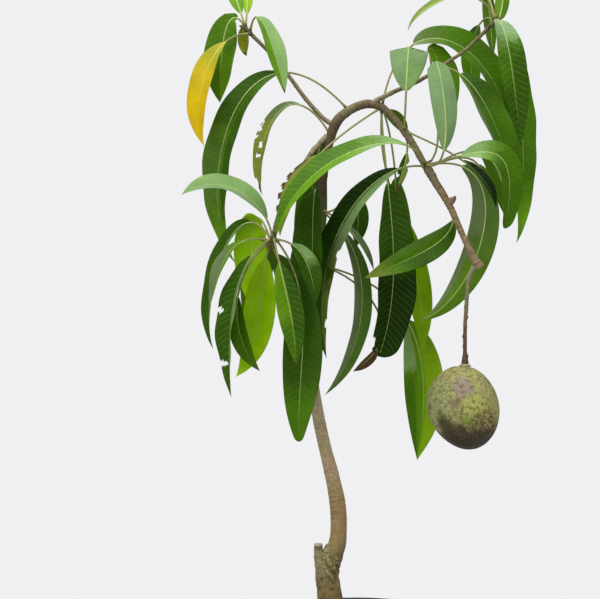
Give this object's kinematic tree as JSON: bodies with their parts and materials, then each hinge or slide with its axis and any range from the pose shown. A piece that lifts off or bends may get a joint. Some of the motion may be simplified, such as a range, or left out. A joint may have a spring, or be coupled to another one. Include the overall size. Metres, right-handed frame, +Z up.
{
  "type": "potted mango tree sapling",
  "caption": "Young grafted mango tree in a round plastic pot: bent trunk, arching boughs with long hanging leaves and a mango on its stalk.",
  "frame": {"origin": "middle of the pot's flat underside, on the surface that the pot stands on", "axes": "+Z up along the plant, +X to the side where the fruit hangs, -Y to the front"},
  "size_m": [0.4092, 0.2565, 0.9495],
  "materials": {
    "pot": "satin black, moulded",
    "soil": "loose potting mix",
    "bark": "rough young bark",
    "green_twig": "smooth young bark",
    "fruit": "waxy skin with russet specks",
    "foliage": "leathery, half glossy"
  },
  "bodies": {
    "root": {"pot": "pot", "soil": "soil", "mango_fruit": "fruit", "trunk": "bark", "arch_rising": "bark", "arch_falling": "bark", "fruiting_bough_upper": "bark", "fruiting_bough_lower": "bark", "left_twig": "green_twig", "right_twig": "green_twig", "low_shoot": "green_twig", "fruit_stalk": "green_twig", "leaves_top_left": "foliage", "leaf_over_left": "foliage", "leaves_fork": "foliage", "leaves_arch": "foliage", "leaves_top_right": "foliage", "leaves_right_twig": "foliage", "leaves_upper_bough": "foliage", "leaves_lower_bough": "foliage", "leaves_low_shoot": "foliage", "leaves_trunk": "foliage", "leaves_trunk_low": "foliage"}
  },
  "joints": []
}
